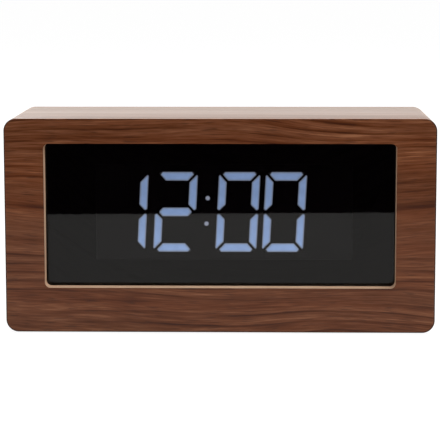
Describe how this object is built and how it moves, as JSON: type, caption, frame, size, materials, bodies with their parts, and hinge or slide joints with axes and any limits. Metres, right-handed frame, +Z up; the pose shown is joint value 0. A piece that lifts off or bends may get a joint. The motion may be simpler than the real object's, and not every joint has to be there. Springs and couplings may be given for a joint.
{
  "type": "table clock",
  "caption": "Digital table clock: a walnut veneered box case with a recessed smoked window, lit seven-segment digits, and a rear cover with push buttons, power inlet and battery door.",
  "frame": {"origin": "middle of the footprint, on the plane the feet stand on", "axes": "Z up, the front with the window faces -Y, X to the right as the front is looked at"},
  "size_m": [0.24, 0.09, 0.121],
  "materials": {
    "walnut_veneer": "satin lacquer, fine straight grain",
    "mdf": "bare sawn edge",
    "pine": "planed, bare",
    "rubber": "matt",
    "tape": "matt",
    "smoked_acrylic": "polished, dark tint",
    "black_plastic": "moulded, fine texture",
    "black_film": "matt",
    "lit_resin": "translucent, lit from behind",
    "dark_resin": "translucent, unlit",
    "white_plastic": "moulded",
    "light_chip": "gel filled",
    "circuit_board": "solder mask",
    "zinc_screw": "zinc plated",
    "black_screw": "black zinc plated",
    "chip_black": "moulded epoxy",
    "tin_can": "drawn can",
    "capacitor_sleeve": "shrink sleeve",
    "socket_nylon": "natural nylon",
    "cable_grey": "flat ribbon cable",
    "switch_black": "moulded",
    "plunger_nylon": "moulded",
    "inlet_black": "moulded",
    "nickel": "nickel plated",
    "sounder_black": "moulded",
    "cell_jacket": "plain printed jacket",
    "red_lead": "soft vinyl",
    "black_lead": "soft vinyl"
  },
  "bodies": {
    "case": {"case_wrap": "walnut_veneer", "front_veneer": "walnut_veneer", "front_board": "mdf", "top_panel": "mdf", "bottom_panel": "mdf", "left_panel": "mdf", "right_panel": "mdf", "corner_blocks": "pine", "feet": "rubber", "lens_tape": "tape", "window_lens": "smoked_acrylic", "display_carrier": "black_plastic", "carrier_screws": "zinc_screw", "display_film": "black_film", "lit_bars": "lit_resin", "dark_bars": "dark_resin", "digit_block": "white_plastic", "light_chips": "light_chip", "display_board": "circuit_board", "display_screws": "zinc_screw", "clock_chip": "chip_black", "crystal_can": "tin_can", "capacitors": "capacitor_sleeve", "display_socket": "socket_nylon", "flat_cable": "cable_grey", "key_socket": "socket_nylon", "key_board": "circuit_board", "key_screws": "zinc_screw", "switch_bodies": "switch_black", "inlet_body": "inlet_black", "inlet_pin": "nickel", "sounder": "sounder_black", "rear_cover": "black_plastic", "rear_screws": "black_screw", "battery_cells": "cell_jacket", "battery_contacts": "nickel", "battery_springs": "nickel", "battery_leads": "red_lead", "sounder_leads": "black_lead"},
    "battery_door_body": {"battery_door": "black_plastic"},
    "push_1": {"button_1": "black_plastic", "plunger_1": "plunger_nylon"},
    "push_2": {"button_2": "black_plastic", "plunger_2": "plunger_nylon"},
    "push_3": {"button_3": "black_plastic", "plunger_3": "plunger_nylon"},
    "push_4": {"button_4": "black_plastic", "plunger_4": "plunger_nylon"},
    "push_5": {"button_5": "black_plastic", "plunger_5": "plunger_nylon"}
  },
  "joints": [
    {"name": "push_1_press", "type": "slide", "parent": "case", "child": "push_1", "axis": [0, -1, 0], "range_m": [0, 0.0004], "stiffness_N_per_m": 1500},
    {"name": "push_2_press", "type": "slide", "parent": "case", "child": "push_2", "axis": [0, -1, 0], "range_m": [0, 0.0004], "stiffness_N_per_m": 1500},
    {"name": "push_3_press", "type": "slide", "parent": "case", "child": "push_3", "axis": [0, -1, 0], "range_m": [0, 0.0004], "stiffness_N_per_m": 1500},
    {"name": "push_4_press", "type": "slide", "parent": "case", "child": "push_4", "axis": [0, -1, 0], "range_m": [0, 0.0004], "stiffness_N_per_m": 1500},
    {"name": "push_5_press", "type": "slide", "parent": "case", "child": "push_5", "axis": [0, -1, 0], "range_m": [0, 0.0004], "stiffness_N_per_m": 1500},
    {"name": "battery_door_hinge", "type": "hinge", "parent": "case", "child": "battery_door_body", "pos_m": [0.065, 0.0398, 0.041], "axis": [0, 0, -1], "range_deg": [0, 95]}
  ]
}
